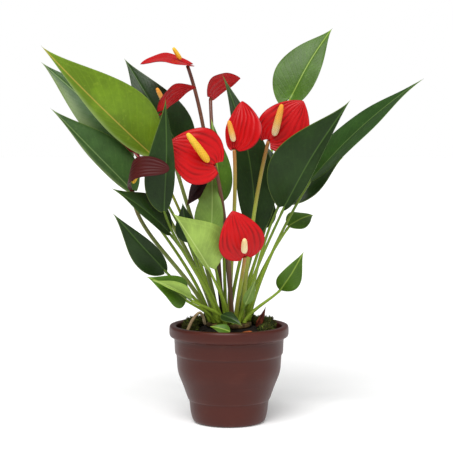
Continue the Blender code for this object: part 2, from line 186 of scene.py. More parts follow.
# A small leaf that lies on the soil, cut off from the crown: base, tip, width, face
FALLEN_LEAF = ((1, -43, 97), (-19, -40, 102), 12, (0, -7, 6))
FALLEN_CURVES = (0.1, 0.2, 0, 0, 0)

# name, bud, base, tip, width, face, arch, fold, lobe, skew, bend, spadix direction, spadix length
FLOWERS = (
    ("flower_top", (2, 4), (-42, 25, 358), (-89, 18, 359), 50, (0, -2, 9), 0.12, 0.1, 0.15, 0.1, -0.05,
     (-5, -4, 8), 15),
    ("flower_back", (1, 1), (-19, 60, 325), (12, 72, 346), 28, (-3, 7, 6), 0.12, 0.05, 0.08, -0.5, 0.04,
     (-2, 9, 5), 20),
    ("flower_behind", (2, 5), (-65, 6, 313), (-33, 14, 336), 28, (-3, 5, 7), 0.2, 0.05, 0.2, -0.2, 0.04,
     (-4, -3, 8), 18),
    ("flower_main", (1, 5), (-14, -46, 260), (-59, -54, 281), 58, (1, -9, 3),
     0.05, 0.05, 0.14, -0.08, 0.02,
     (-20, -22, 28), 40),
    ("flower_upright", (0, 0), (5, -25, 275), (13, -18, 322), 41, (-5, -8, 2),
     0.08, 0.05, 0.05, -0.4, -0.04,
     (-2, -5, 8), 24),
    ("flower_right", (2, 0), (39, -15, 283), (73, -20, 322), 52, (1, -9, 3),
     0.05, 0.05, 0.1, -0.08, -0.04,
     (2, -6, 9), 37),
    ("flower_low", (2, 10), (15, -64, 173), (3, -76, 218), 45, (0, -9, 4), 0.14, 0.05, 0.06, 0, 0,
     (0, -8, 5), 27),
    ("flower_faded", (3, 9), (-92, -59, 235), (-56, -91, 258), 27, (4, 6, -6), -0.4, 0.05, 0.05, 0, 0,
     (4, -4, 7), 14),
    ("flower_hidden", (3, 7), (-90, 2, 266), (-115, -6, 281), 16, (0, -3, 9), 0.1, 0.4, 0.05, 0.2, 0.05,
     (-1, -3, 9), 9),
)

# An unopened dark spathe on its own thin stem: bud, base, tip, width, face
YOUNG_SPATHE = ((1, 3), (-24, -20, 243), (-42, -28, 219), 17, (-3, -8, -3))
YOUNG_CURVES = (0.12, 0.9, 0, 0, 0)

# A papery bract at the feet of the stalks: base, tip, width, face
SHEATH = ((27, -6, 97.5), (37, -10, 118), 7, (5, -8, 2))
SHEATH_CURVES = (0.06, 0.8, 0, 0, 0)

# Where the dry stalk runs, from the soil beside the crown to the left wall of the pot
DEAD_STALK = ((-24, -5, 99), (-26, -9, 108), (-30, -15, 112), (-36, -22, 106), (-42, -27, 94))
DEAD_STALK_R = 1.5 * MM

# Moss lies on the soil as a lumpy mat round the back, from the left front to the right front
MOSS_FROM = math.radians(-38)
MOSS_TO = math.radians(212)
MOSS_RING_R = 39.0 * MM
MOSS_HALF_WIDTH = 9.0 * MM
MOSS_H = 15.0 * MM
CRUMB_SEED = 4
MOSS_SEED = 11

BARK_AT = (17, -40)
BARK_SIZE = (11 * MM, 7 * MM, 3 * MM)

# Stage
AIM = Vector((-2.5 * MM, 0.0, 197 * MM))
CAMERA_AT = (AIM.x, -1.5, 0.315)
SENSOR_WIDTH = 36.0
NEAR_CLIP = 0.05
KEY_FROM = (-0.2, -0.9, 1.25)
KEY_SPREAD = 40
FILL_FROM = (0.9, -0.5, 0.5)
FILL_SPREAD = 60
FILL_SHARE = 0.12  # of the key light's strength
FLOOR_PROFILE = ((8.0, -0.02), (8.0, 0.0), (0.01, 0.0))


def tint(red, green, blue):
    """A screen colour, 0 to 255, as the linear colour that a shader takes."""
    shares = [channel / 255 for channel in (red, green, blue)]
    return tuple(s / 12.92 if s <= 0.04045 else ((s + 0.055) / 1.055) ** 2.4 for s in shares)


# ---- Settings ----


def colour_setting(name, description, default):
    return bpy.props.FloatVectorProperty(
        name=name, description=description, default=default, subtype="COLOR", size=3, min=0.0, max=1.0
    )


def length_setting(name, description, default):
    return bpy.props.FloatProperty(
        name=name, description=description, default=default, min=0.0, unit="LENGTH", subtype="DISTANCE"
    )


def share_setting(name, description, default):
    return bpy.props.FloatProperty(
        name=name, description=description, default=default, min=0.0, max=1.0, subtype="FACTOR"
    )


def count_setting(name, description, default):
    return bpy.props.IntProperty(name=name, description=description, default=default, min=0)


class LeafSettings(bpy.types.PropertyGroup):
    """Colours and relief of the leaves."""

    # Painted light and shade: dark is partly the colour of old leaves and partly painted shade; olive and
    # bright are partly painted light, for leaves in full light
    dark: colour_setting("Dark leaf", "Old leaves and those in the shade", tint(32, 55, 16))
    olive: colour_setting("Olive leaf", "The broad leaf at the upper left", tint(104, 134, 26))
    bright: colour_setting("Bright leaf", "Leaves in full light", tint(74, 110, 24))
    young: colour_setting("Young leaf", "The newest leaves", tint(150, 178, 82))
    rib: colour_setting("Rib", "Midrib of a green leaf", tint(140, 158, 84))
    margin: colour_setting("Margin", "Thin pale edge of a blade", tint(150, 175, 70))
    underside: colour_setting("Underside", "Dull back of a blade", tint(104, 132, 78))
    stalk: colour_setting("Stalk", "Leaf stalk in the light", tint(146, 174, 54))
    wave: length_setting("Wave", "How far a margin waves up and down", 0.9 * MM)
    roughness: share_setting("Roughness", "Roughness of a leaf's upper side", 0.3)


class FlowerSettings(bpy.types.PropertyGroup):
    """Colours and relief of the spathes, spadices and stems."""

    red: colour_setting("Spathe", "Ridges of an open spathe", tint(184, 8, 14))
    # Painted shade: the groove colour darkens a spathe between its ridges, where shade falls
    painted_groove_shade: colour_setting("Groove", "Grooves between a spathe's ridges", tint(142, 3, 6))
    back: colour_setting("Spathe back", "Back of an open spathe", tint(188, 10, 16))
    faded: colour_setting("Faded spathe", "Ridges of an old spathe", tint(84, 12, 8))
    edge: colour_setting("Spathe edge", "Thin dark edge of a spathe", tint(120, 8, 20))
    ridge: length_setting("Ridge height", "How far a spathe's ridges stand out", 0.6 * MM)
    seed: length_setting("Grain height", "How far the grains of a spadix stand out", 0.22 * MM)


class PotSettings(bpy.types.PropertyGroup):
    """Plastic of the pot."""

    plastic: colour_setting("Plastic", "Colour of the moulded pot", tint(68, 22, 12))
    worn: colour_setting("Worn plastic", "Rubbed edges of the pot", tint(104, 50, 36))
    roughness: share_setting("Roughness", "Roughness of the plastic", 0.32)


class GroundSettings(bpy.types.PropertyGroup):
    """Soil, moss and what lies on them."""

    peat: colour_setting("Peat", "Damp peat", tint(34, 26, 18))
    moss: colour_setting("Moss", "Moss in the light", tint(74, 88, 30))
    leaflets: count_setting("Moss leaflets", "How many leaflets stand on the moss", 5200)
    crumbs: count_setting("Crumbs", "How many crumbs of peat lie on the soil", 520)


class StageSettings(bpy.types.PropertyGroup):
    """Floor, lights and camera."""

    floor: colour_setting("Floor", "Pale floor", (0.9, 0.9, 0.9))
    sky: share_setting("Sky", "Share of their white that the surroundings light with", 0.34)
    key: bpy.props.FloatProperty(
        name="Key light", description="Strength of the large soft lamp", default=3.3, min=0.0
    )
    lens: bpy.props.FloatProperty(
        name="Lens", description="Focal length of the camera", default=119.57, unit="CAMERA"
    )


# ---- Shader arithmetic ----


class Wire:
    """An output of a material's node that takes part in sums: each operator adds its Math node."""

    def __init__(self, paint, socket):
        self.paint = paint
        self.socket = socket

    def __add__(self, other):
        return self.paint.math("ADD", self, other)

    __radd__ = __add__

    def __sub__(self, other):
        return self.paint.math("SUBTRACT", self, other)

    def __rsub__(self, other):
        return self.paint.math("SUBTRACT", other, self)

    def __mul__(self, other):
        return self.paint.math("MULTIPLY", self, other)

    __rmul__ = __mul__

    def __pow__(self, other):
        return self.paint.math("POWER", self, other)

    def __abs__(self):
        return self.paint.math("ABSOLUTE", self, 0.0)


class Paint:
    """A procedural finish: its Principled shader, and the nodes that feed it."""

    def __init__(self, name, fixed):
        self.material = bpy.data.materials.new(name)
        self.material.use_nodes = True
        self.tree = self.material.node_tree
        self.shader = self.tree.nodes["Principled BSDF"]
        for socket, value in fixed.items():
            self.shader.inputs[socket].default_value = value
        self.place = self.node("ShaderNodeTexCoord", {}, {}, "Object")

    def node(self, kind, settings, values, output=0):
        """Adds a node. Its settings are made first, then each socket gets a value or a link."""
        made = self.tree.nodes.new(kind)
        for key, value in settings.items():
            if key == "stops":
                self.fill_ramp(made.color_ramp, value)
            else:
                setattr(made, key, value)
        for key, value in values.items():
            self.plug(value, made.inputs[key])
        return Wire(self, made.outputs[output])

    def plug(self, value, socket):
        if isinstance(value, Wire):
            self.tree.links.new(value.socket, socket)
        elif socket.type == "RGBA":
            socket.default_value = (*value, 1.0)
        else:
            socket.default_value = value

    def fill_ramp(self, ramp, stops):
        while len(ramp.elements) < len(stops):
            ramp.elements.new(1.0)
        for element, (place, colour) in zip(ramp.elements, stops):
            element.position = place
            element.color = (*colour, 1.0)

    def math(self, operation, a, b):
        return self.node("ShaderNodeMath", {"operation": operation}, {0: a, 1: b})

    def sine(self, a):
        return self.math("SINE", a, 0.0)

    def larger(self, a, b):
        return self.math("MAXIMUM", a, b)

    def band(self, value, low, high):
        """0 below low, 1 above high, and smooth between."""
        values = {"Value": value, "From Min": low, "From Max": high}
        return self.node("ShaderNodeMapRange", {"interpolation_type": "SMOOTHSTEP"}, values)

    def mix(self, share, a, b):
        return self.node("ShaderNodeMix", {"data_type": "RGBA"}, {0: share, 6: a, 7: b}, 2)

    def ramp(self, value, stops):
        return self.node("ShaderNodeValToRGB", {"stops": stops}, {"Fac": value})

    def mark(self, name):
        """A number that the mesh carries at its points."""
        return self.node("ShaderNodeAttribute", {"attribute_name": name}, {}, "Fac")

    def grain(self, scale, detail, roughness=0.55, place=None):
        values = {"Vector": place or self.place, "Scale": scale, "Detail": detail, "Roughness": roughness}
        return self.node("ShaderNodeTexNoise", {}, values)

    def cells(self, scale):
        return self.node("ShaderNodeTexVoronoi", {}, {"Vector": self.place, "Scale": scale}, "Distance")

    def stretched(self, x, y, z=0.0):
        return self.node("ShaderNodeCombineXYZ", {}, {"X": x, "Y": y, "Z": z})

    def bump(self, height, distance):
        return self.node("ShaderNodeBump", {}, {"Height": height, "Distance": distance, "Strength": 1.0})

    def layered(self, colour, *coats):
        """A colour with coats over it, each a share and its own colour."""
        for share, coat in coats:
            colour = self.mix(share, colour, coat)
        return colour

    def finish(self, colour, roughness, normal=None):
        self.plug(colour, self.shader.inputs["Base Color"])
        self.plug(roughness, self.shader.inputs["Roughness"])
        if normal:
            self.plug(normal, self.shader.inputs["Normal"])
        return self.material


# ---- Finishes ----


def darker(colour, share):
    return tuple(channel * share for channel in colour)


def leaf_paint(name, settings, body, fleck, rib, stalk_top, painted_sheen=0.0):
    """Living leaf: mottled blade, pale ribs and margin, a painted sheen, duller underside, and its own
    stalk.
    """
    paint = Paint(name, {"Coat Weight": 0.03, "Coat Roughness": 0.3, "Specular IOR Level": 0.2})
    along = paint.mark("along")
    across = paint.mark("across")
    from_rib = paint.mark("from_rib")
    from_edge = paint.mark("from_edge")
    below = paint.mark("below")
    patches = paint.band(paint.grain(34.0, 4.0), 0.36, 0.68)
    flecks = paint.band(paint.grain(230.0, 3.0), 0.56, 0.74)
    slope = (along - abs(across) * VEIN_SLANT) * (VEINS * TAU)
    veins = (paint.sine(slope) * 0.5 + 0.5) ** 10 * paint.band(from_rib, 0.6 * MM, 4 * MM)
    rim_vein = 1 - paint.band(abs(from_edge - 2.6 * MM), 0.1 * MM, 0.7 * MM)
    nerves = paint.larger(veins * 0.8, rim_vein * 0.7)
    midrib = 1 - paint.band(from_rib, 0.3 * MM, 0.9 * MM)
    margin = 1 - paint.band(from_edge, *THIN_EDGE)
    # Painted sheen: a pale band towards the +1 margin, broken up by noise, stands in for a reflection of
    # the white surroundings
    pale = paint.band(across + 0.5 * (paint.grain(26.0, 2.0) - 0.5), 0.3, 0.95)
    top = paint.layered(
        darker(body, 0.66),
        (patches, body),
        (pale * painted_sheen, tint(158, 174, 118)),
        (flecks * 0.22, fleck),
        (nerves * 0.18, darker(body, 1.35)),
        (midrib * 0.6, rib),
    )
    under = paint.layered(
        darker(settings.underside, 0.75),
        (patches, settings.underside),
        (nerves * 0.3 + midrib * 0.6, settings.rib),
    )
    blade = paint.layered(top, (below, under), (margin * 0.25, settings.margin))
    # The dark streaks down a stalk are partly real streaks and partly painted shade, for the shade among
    # the crowded stalks
    streaks = paint.grain(1.0, 3.0, place=paint.stretched(along * 3, across * 5, paint.grain(20.0, 1.0)))
    stalk = paint.layered(
        settings.stalk,
        (paint.band(along, 0.25, 1.0), stalk_top),
        (streaks * 0.7, darker(settings.stalk, 0.3)),
    )
    roughness = settings.roughness + 0.14 * paint.grain(90.0, 3.0) + 0.18 * below
    height = paint.grain(160.0, 3.0) + 0.35 * paint.grain(900.0, 2.0) - 0.35 * nerves
    colour = paint.mix(paint.mark("blade"), stalk, blade)
    return paint.finish(colour, roughness, paint.bump(height, 0.25 * MM))


def spathe_paint(name, face, painted_groove_shade, back, edge, roughness):
    """Waxy spathe: bright ridges, grooves darkened by painted shade, a dark edge, and a dull ribbed back.
    """
    paint = Paint(name, {"Coat Weight": 0.05, "Coat Roughness": 0.25, "Specular IOR Level": 0.18})
    ridge = paint.mark("ridge")
    below = paint.mark("below")
    clouds = paint.grain(40.0, 3.0)
    # Painted shade: the front takes the groove colour between its ridges and the face colour on them
    front = paint.layered(
        painted_groove_shade,
        (paint.band(ridge + 1.4 * (clouds - 0.5), 0.05, 0.95), face),
        (paint.band(clouds, 0.45, 0.75) * 0.4, darker(face, 0.72)),
    )
    rear = paint.layered(
        darker(back, 1.25),
        (paint.band(ridge, 0.0, 0.25), back),
        (paint.band(clouds, 0.4, 0.7) * 0.4, darker(back, 0.6)),
    )
    margin = 1 - paint.band(paint.mark("from_edge"), *THIN_EDGE)
    gloss = roughness + 0.1 * paint.grain(120.0, 2.0) + 0.16 * below
    height = paint.grain(420.0, 3.0) + 0.5 * paint.cells(1500.0)
    colour = paint.layered(front, (below, rear), (margin, edge))
    return paint.finish(colour, gloss, paint.bump(height, 0.12 * MM))


def stem_paint(name, foot, top):
    """Flower stem: its colour runs from foot to top, with long streaks and small pale dots."""
    paint = Paint(name, {"Coat Weight": 0.15, "Coat Roughness": 0.3})
    along = paint.mark("along")
    streaks = paint.grain(1.0, 3.0, place=paint.stretched(along * 5, paint.mark("across") * 4))
    dots = paint.band(paint.grain(1300.0, 1.0), 0.68, 0.78)
    colour = paint.layered(
        foot,
        (paint.band(along + 0.3 * streaks, 0.7, 1.3), top),
        (paint.band(streaks, 0.45, 0.75) * 0.5, darker(top, 0.5)),
        (dots * 0.3, tint(170, 150, 110)),
    )
    roughness = 0.38 + 0.15 * paint.grain(200.0, 2.0)
    return paint.finish(colour, roughness, paint.bump(streaks + 0.3 * paint.grain(700.0, 2.0), 0.2 * MM))


def spadix_paint(name, base, middle, tip):
    """Spadix: packed tiny flowers, with painted shade between the grains, and its colour runs to the tip.
    """
    paint = Paint(name, {"Specular IOR Level": 0.35, "Subsurface Weight": 0.08, "Subsurface Scale": 0.004})
    along = paint.mark("along")
    grain = paint.mark("grain")
    mottle = paint.band(paint.grain(500.0, 3.0), 0.4, 0.7)
    dots = 1 - paint.band(paint.cells(900.0), 0.12, 0.3)
    # Painted shade: between the grains the colours run darker, as the shade in the hollows
    painted_hollow_shade = ((0.0, darker(base, 0.8)), (0.5, darker(middle, 0.75)), (1.0, darker(tip, 0.8)))
    colour = paint.layered(
        paint.ramp(along, painted_hollow_shade),
        (paint.band(grain, 0.0, 0.55), paint.ramp(along, ((0.0, base), (0.5, middle), (1.0, tip)))),
        (mottle * 0.25, tip),
        (dots * 0.3 * grain, tint(250, 236, 190)),
    )
    return paint.finish(colour, 0.5 + 0.2 * mottle, paint.bump(paint.grain(1100.0, 3.0), 0.2 * MM))


def plastic_paint(settings):
    """Moulded plastic: fine orange peel, rubbed edges, faint scratches and dried splashes."""
    paint = Paint("pot_plastic_fine", {"Specular IOR Level": 0.3})
    worn = paint.mark("edge") * paint.band(paint.grain(60.0, 4.0), 0.3, 0.7)
    dust = paint.band(paint.grain(48.0, 6.0, 0.7), 0.6, 0.8)
    turns = paint.stretched(paint.mark("around") * 2.5, paint.mark("height") * 160.0)
    scratch = paint.band(paint.grain(1.0, 2.0, place=turns), 0.66, 0.72)
    colour = paint.layered(
        darker(settings.plastic, 0.86),
        (paint.band(paint.grain(9.0, 4.0), 0.35, 0.7), settings.plastic),
        (worn * 0.6, settings.worn),
        (dust * 0.06, tint(150, 120, 100)),
        (scratch * 0.22, settings.worn),
    )
    roughness = settings.roughness + 0.16 * paint.grain(70.0, 4.0) + 0.12 * dust
    height = 0.5 * paint.grain(650.0, 2.0) + 0.6 * paint.grain(60.0, 2.0) + 0.25 * scratch
    return paint.finish(colour, roughness, paint.bump(height, 0.12 * MM))


def rough_paint(name, dark, light, scale, roughness, depth):
    """Matt matter such as peat, bark or a dry stalk: two mottled colours and a coarse grain."""
    paint = Paint(name, {"Specular IOR Level": 0.25})
    coarse = paint.grain(scale, 5.0, 0.65)
    fine = paint.grain(scale * 5, 4.0, 0.65)
    colour = paint.layered(
        dark,
        (paint.band(coarse, 0.3, 0.72), light),
        (paint.band(fine, 0.55, 0.8) * 0.5, darker(light, 1.25)),
        (paint.mark("tone"), light),
    )
    return paint.finish(colour, roughness + 0.1 * fine, paint.bump(coarse + 0.5 * fine, depth))


def moss_paint(settings):
    """Moss: each leaflet has its own tone, from nearly black through brown to bright green."""
    paint = Paint("moss_fine", {"Specular IOR Level": 0.2})
    moss = settings.moss
    tone = paint.mark("tone") + 0.35 * (paint.grain(120.0, 4.0) - 0.5)
    browns = ((0.0, darker(moss, 0.12)), (0.35, darker(moss, 0.4)), (0.6, tint(72, 62, 26)))
    colour = paint.ramp(tone, (*browns, (0.8, moss), (1.0, tint(120, 142, 52))))
    roughness = 0.8 + 0.15 * paint.grain(300.0, 2.0)
    return paint.finish(colour, roughness, paint.bump(paint.grain(800.0, 3.0), 0.3 * MM))


# ---- Mesh making ----


def unit(vector):
    return vector / np.linalg.norm(vector)


def lofted(name, rings, marks, look):
    """A closed piece from rings (rows, sides, 3), capped at both ends, with marks at its points."""
    return meshed(name, rings.reshape(-1, 3), loft_faces(*rings.shape[:2]), marks, look)


def loft_faces(rows, sides):
    """Quads between the rings, and a cap at each end."""
    index = np.arange(rows * sides).reshape(rows, sides)
    beside = np.roll(index, -1, axis=1)
    quads = np.stack([index[:-1], beside[:-1], beside[1:], index[1:]], axis=-1).reshape(-1, 4)
    return quads.tolist() + [index[0, ::-1].tolist(), index[-1].tolist()]


def littered(name, rings, tone, slivers, tones, look):
    """A lofted piece of one tone, with slivers that lie on it and have their own tones."""
    rows, sides = rings.shape[:2]
    corners, sliver_faces = slivers
    faces = loft_faces(rows, sides) + (sliver_faces + rows * sides).tolist()
    marks = {"tone": np.concatenate([np.full(rows * sides, tone), np.repeat(tones, 4)])}
    return meshed(name, np.concatenate([rings.reshape(-1, 3), corners]), faces, marks, look)


def meshed(name, points, faces, marks, look):
    mesh = bpy.data.meshes.new(name)
    mesh.from_pydata(points.tolist(), [], faces)
    mesh.materials.append(look)
    for key, values in marks.items():
        layer = mesh.attributes.new(key, "FLOAT", "POINT")
        layer.data.foreach_set("value", np.ascontiguousarray(values, dtype=np.float32).ravel())
    mesh.shade_smooth()
    made = bpy.data.objects.new(name, mesh)
    bpy.context.scene.collection.objects.link(made)
    return made


def keep(piece, node, slack=SLACK):
    """Ties a piece to the frame. It has to lie in its node's box, give or take slack."""
    low, high = (np.array(corner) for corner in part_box(node))
    places = np.array([piece.matrix_world @ vertex.co for vertex in piece.data.vertices])
    worst = max((low - places.min(axis=0)).max(), (places.max(axis=0) - high).max())
    if worst > slack:
        raise RuntimeError(f"{piece.name} stands {worst / MM:.1f} mm outside its node {node}")
    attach(piece, "root")
    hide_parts(node)


def bud_place(bud):
    """Foot of a stalk on the crown, for a bud's ring and place: rings hold 1, 6, 12 and 18 buds."""
    ring, place = bud
    angle = TAU * place / (6 * ring) if ring else 0.0
    reach = ring * BUD_SPACING
    return np.array((reach * math.cos(angle), reach * math.sin(angle), CROWN_TOP + GAP))


def stalk_path(foot, base, heading, steps):
    """Points of a stalk that leaves its foot steeply and comes in along heading."""
    length = np.linalg.norm(base - foot)
    lean = unit(base - foot)
    out = unit(lean + np.array((0, 0, 1)))
    back = unit(lean * 2 + heading)
    p1 = foot + out * length * 0.3
    p2 = base - back * length * 0.3
    t = np.linspace(0, 1, steps)[:, None]
    u = 1 - t
    return foot * u**3 + 3 * p1 * t * u**2 + 3 * p2 * t**2 * u + base * t**3


def tube_rings(path, radii, across, angles):
    """Rings round a path, turned so that angle 0 of the last ring looks along across."""
    rings = np.empty((len(path), len(angles), 3))
    radii = np.broadcast_to(np.asarray(radii).reshape(len(path), -1), (len(path), len(angles)))
    side = across
    for i in range(len(path) - 1, -1, -1):
        heading = unit(path[min(i + 1, len(path) - 1)] - path[max(i - 1, 0)])
        side = unit(side - heading * side.dot(heading))
        up = np.cross(heading, side)
        spokes = np.outer(np.cos(angles), side) + np.outer(np.sin(angles), up)
        rings[i] = path[i] + spokes * radii[i][:, None]
    return rings


def rooted_rings(path, radii, across, angles):
    """Rings round a path whose first ring lies flat on the crown."""
    rings = tube_rings(path, radii, across, angles)
    rings[0, :, 2] = path[0][2]
    return rings


def circle_angles(sides):
    return np.arange(sides) * TAU / sides


def spokes(angles):
    """Level directions at the angles."""
    return np.stack([np.cos(angles), np.sin(angles), np.zeros(len(angles))], axis=-1)


class Section:
    """Points round a blade's cross section: lanes from +1 to -1 above, and back again below."""

    def __init__(self, lanes):
        lanes = np.array(lanes)
        above = np.linspace(0, math.pi, len(lanes))
        self.lane = np.concatenate([lanes, lanes[-2:0:-1]])
        self.angle = np.concatenate([above, TAU - above[-2:0:-1]])
        self.side = np.sign(np.round(np.sin(self.angle), 6))


LEAF_LANES = (1, 0.985, 0.95, 0.89, 0.81, 0.72, 0.62, 0.52, 0.42, 0.32, 0.22, 0.14, 0.08, 0.035)
LEAF_SECTION = Section(LEAF_LANES + (0,) + tuple(-lane for lane in reversed(LEAF_LANES)))
EVEN_LANES = np.linspace(1, -1, SPATHE_LANES)
SPATHE_SECTION = Section(np.sin(EVEN_LANES * math.pi / 2) * 0.35 + EVEN_LANES * 0.65)


class Blade:
    """Middle surface of a leaf or spathe: where a share of the length and a lane come to lie."""

    def __init__(self, base, tip, width, face, curves, shape=LEAF_SHAPE):
        self.base = np.array(base) * MM
        chord = np.array(tip) * MM - self.base
        self.length = np.linalg.norm(chord)
        self.along = chord / self.length
        self.across = unit(np.cross(face, self.along))
        self.up = np.cross(self.along, self.across)
        self.width = width * MM
        self.arch, self.fold, self.lobe, self.skew, self.bend = curves
        self.shape = shape

    def half(self, s):
        """Half width at s: blunt at the base, pointed at the tip."""
        fullness, taper = self.shape
        peak = fullness / (fullness + taper)
        return 0.5 * self.width * (s / peak) ** fullness * ((1 - s) / (1 - peak)) ** taper

    def middle(self, s, lane, lift=0.0):
        crease = np.sqrt(lane**2 + 0.0009) - 0.03
        forward = self.length * (s - self.lobe * lane**2 * (1 - s) ** 4)
        bow = self.length * 4 * s * (1 - s)
        rise = bow * self.arch + self.half(s) * self.fold * (1.4 - s) * (crease - 0.45 * lane**2) + lift
        sideways = self.half(s) * (lane + self.skew * lane**2) + bow * self.bend
        offsets = np.broadcast_arrays(forward, sideways, rise)
        return self.base + sum(
            offset[..., None] * axis for offset, axis in zip(offsets, (self.along, self.across, self.up))
        )


def blade_rows(count):
    """Shares of the length, closer together at the base and the tip."""
    turns = np.linspace(0.05, 0.985, count)
    return ((1 - np.cos(math.pi * turns)) / 2)[:, None]


def skin(blade, s, lane, side, thick):
    """How far each side stands from the middle surface: rounded margins, and thin at the tip."""
    rounded = np.sqrt(1 - lane**8)
    ending = np.minimum(1.0, (1 - s) * blade.length / (3 * MM))
    return side * thick / 2 * rounded * (0.35 + 0.65 * ending)


def blade_marks(blade, s, section, **own):
    """Numbers for the finish: where on its blade each point lies, and the caller's own."""
    half = blade.half(s)
    lane = section.lane[None, :]
    marks = {
        "along": s,
        "across": lane,
        "from_rib": np.abs(lane) * half,
        "from_edge": (1 - np.abs(lane)) * half,
        "below": (section.side[None, :] < 0) * 1.0,
        "blade": 1.0,
        **own,
    }
    shape = (len(s), len(section.lane))
    return {key: np.broadcast_to(value, shape) for key, value in marks.items()}


def stalk_marks(rows, section, marks):
    """Marks of a stalk that has as many sides as its blade. Only along and across vary on it."""
    along = np.linspace(0, 1, rows)[:, None]
    shape = (rows, len(section.lane))
    own = {"along": along, "across": np.sin(section.angle), "from_edge": 10 * MM, "from_rib": 10 * MM}
    return {key: np.broadcast_to(own.get(key, 0.0), shape) for key in marks}


def joined(first, second):
    return {key: np.concatenate([first[key], second[key]]) for key in second}


def leaf_surface(blade, rows, wave, turn):
    """A leaf's two sides: sunk midrib above, keel below, soft quilting and a waving margin."""
    s = blade_rows(rows)
    lane = LEAF_SECTION.lane[None, :]
    side = LEAF_SECTION.side[None, :]
    from_rib = np.abs(lane) * blade.half(s)
    quilt = np.cos(TAU * VEINS * (s - VEIN_SLANT * np.abs(lane))) * (1 - lane**6)
    quilt = quilt * np.minimum(1, from_rib / (5 * MM))
    waving = np.sin(TAU * 1.7 * s + turn + 1.3 * np.sign(lane)) * np.abs(lane) ** 3 * np.sin(math.pi * s)
    keel = np.exp(-((from_rib / (1.1 * MM)) ** 2))
    neck = np.exp(-s * blade.length / (3 * MM))
    lift = wave * waving * min(1.0, blade.width / (30 * MM)) - 0.04 * MM * quilt
    lift = lift - 0.35 * MM * keel * (side >= 0) * (1 - neck)
    lift = lift + STALK_TOP_R * 0.7 * keel * neck * (side > 0)
    lift = lift - STALK_TOP_R * 0.8 * keel * (1 - s) ** 1.4 * (side < 0)
    lift = lift + skin(blade, s, lane, side, LEAF_THICK)
    sway = np.sin(turn * 2.3) * 0.012 * blade.length * np.sin(math.pi * s) ** 2
    rings = blade.middle(s, lane, lift) + sway[..., None] * blade.across
    return rings, blade_marks(blade, s, LEAF_SECTION)


def stalk_radii(foot_r, top_r, steps, knee):
    """Radius along a stalk: clasping at the foot, and a swollen knee just under the blade."""
    t = np.linspace(0, 1, steps)
    taper = foot_r + (top_r - foot_r) * t
    return taper + 0.7 * MM * np.exp(-t / 0.05) + knee * np.exp(-(((t - 0.955) / 0.022) ** 2))


def on_stalk(name, bud, blade, heading, radii, section, surface, look):
    """Keeps a blade and the stalk that it grew with as one piece."""
    rings, marks = surface
    path = stalk_path(bud_place(bud), blade.base, heading, len(radii))
    stalk = rooted_rings(path, radii, blade.across, section.angle)
    marks = joined(stalk_marks(len(radii), section, marks), marks)
    keep(lofted(name + "_fine", np.concatenate([stalk, rings]), marks, look), name)


def build_leaf(row, look, wave, turn):
    name, bud, base, tip, width, face, *curves = row
    blade = Blade(base, tip, width, face, curves)
    radii = stalk_radii(STALK_FOOT_R, STALK_TOP_R, STALK_STEPS, KNEE)
    surface = leaf_surface(blade, LEAF_ROWS, wave, turn)
    on_stalk(name, bud, blade, blade.along, radii, LEAF_SECTION, surface, look)


def build_loose_leaf(name, row, curves, rows, wave, turn, look):
    """A blade without a stalk."""
    rings, marks = leaf_surface(Blade(*row, curves), rows, wave, turn)
    keep(lofted(name + "_fine", rings, marks, look), name)


def spathe_surface(blade, rows, ridge_height, ridges, turn):
    """A spathe's two sides, pressed into long ridges that run from its base to its tip."""
    s = blade_rows(rows)
    lane = SPATHE_SECTION.lane[None, :]
    side = SPATHE_SECTION.side[None, :]
    drift = 0.05 * np.sin(5 * s + turn + 1.7 * lane) + 0.03 * np.sin(11 * s - turn + 2 * lane)
    wander = np.abs(lane) + drift * np.abs(lane) * (1 - np.abs(lane)) * 4
    ridge = (0.5 - 0.5 * np.cos(TAU * ridges * wander)) ** 0.7
    room = np.minimum(1, blade.half(s) / (14 * MM)) * np.minimum(1, (1 - np.abs(lane)) / 0.06)
    ripple = np.sin(TAU * 1.4 * s + 2.0 * np.sign(lane) + turn) * np.abs(lane) ** 4 * np.sin(math.pi * s)
    swell = 0.5 + 0.5 * np.sin(6 * s + 9 * lane + 3 * turn) * np.cos(13 * lane - 4 * s - turn)
    lift = ridge_height * (ridge - 0.5) * room * (0.4 + swell) + 1.3 * MM * ripple
    lift = lift + skin(blade, s, lane, side, SPATHE_THICK)
    marks = blade_marks(blade, s, SPATHE_SECTION, ridge=1 - (1 - ridge) * swell)
    return blade.middle(s, lane, lift), marks


def build_stem(name, path, across, look):
    angles = circle_angles(STEM_SIDES)
    rings = rooted_rings(path, stalk_radii(STEM_FOOT_R, STEM_TOP_R, len(path), 0.0), across, angles)
    shape = rings.shape[:2]
    marks = {
        "along": np.broadcast_to(np.linspace(0, 1, len(path))[:, None], shape),
        "across": np.broadcast_to(np.sin(angles), shape),
    }
    keep(lofted(name + "_stem_fine", rings, marks, look), name + "_stem")


# Share of the spadix's length, and its thickness there
SPADIX_BULK = (
    (0.0, 0.4), (0.04, 0.74), (0.12, 0.94), (0.25, 1.0), (0.5, 0.95),
    (0.75, 0.84), (0.9, 0.68), (0.96, 0.52), (0.985, 0.36), (1.0, 0.12),
)


